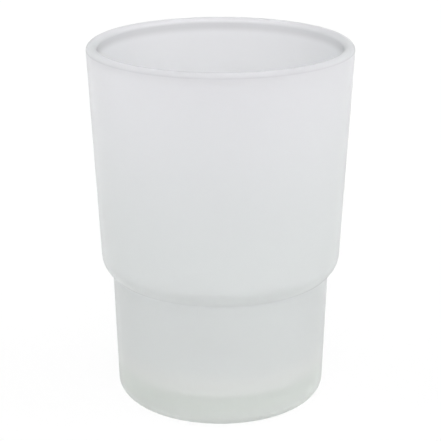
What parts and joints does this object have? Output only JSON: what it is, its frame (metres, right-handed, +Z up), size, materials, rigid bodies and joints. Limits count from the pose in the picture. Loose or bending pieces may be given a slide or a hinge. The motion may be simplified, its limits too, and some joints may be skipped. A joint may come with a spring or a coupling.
{
  "type": "bathroom tumbler",
  "caption": "Frosted glass tumbler with a tapered upper body that steps in to a narrower lower body, so it stands alone or hangs by its shoulder in a wall ring.",
  "frame": {"origin": "on the axis, in the plane of the ring that the glass stands on", "axes": "+Z up along the axis, out of the mouth; the glass is round, so +X and +Y are any two directions square to it"},
  "size_m": [0.072, 0.072, 0.1],
  "materials": {
    "frosted_glass": "acid-etched satin, on every surface"
  },
  "bodies": {
    "root": {"tumbler": "frosted_glass"}
  },
  "joints": []
}
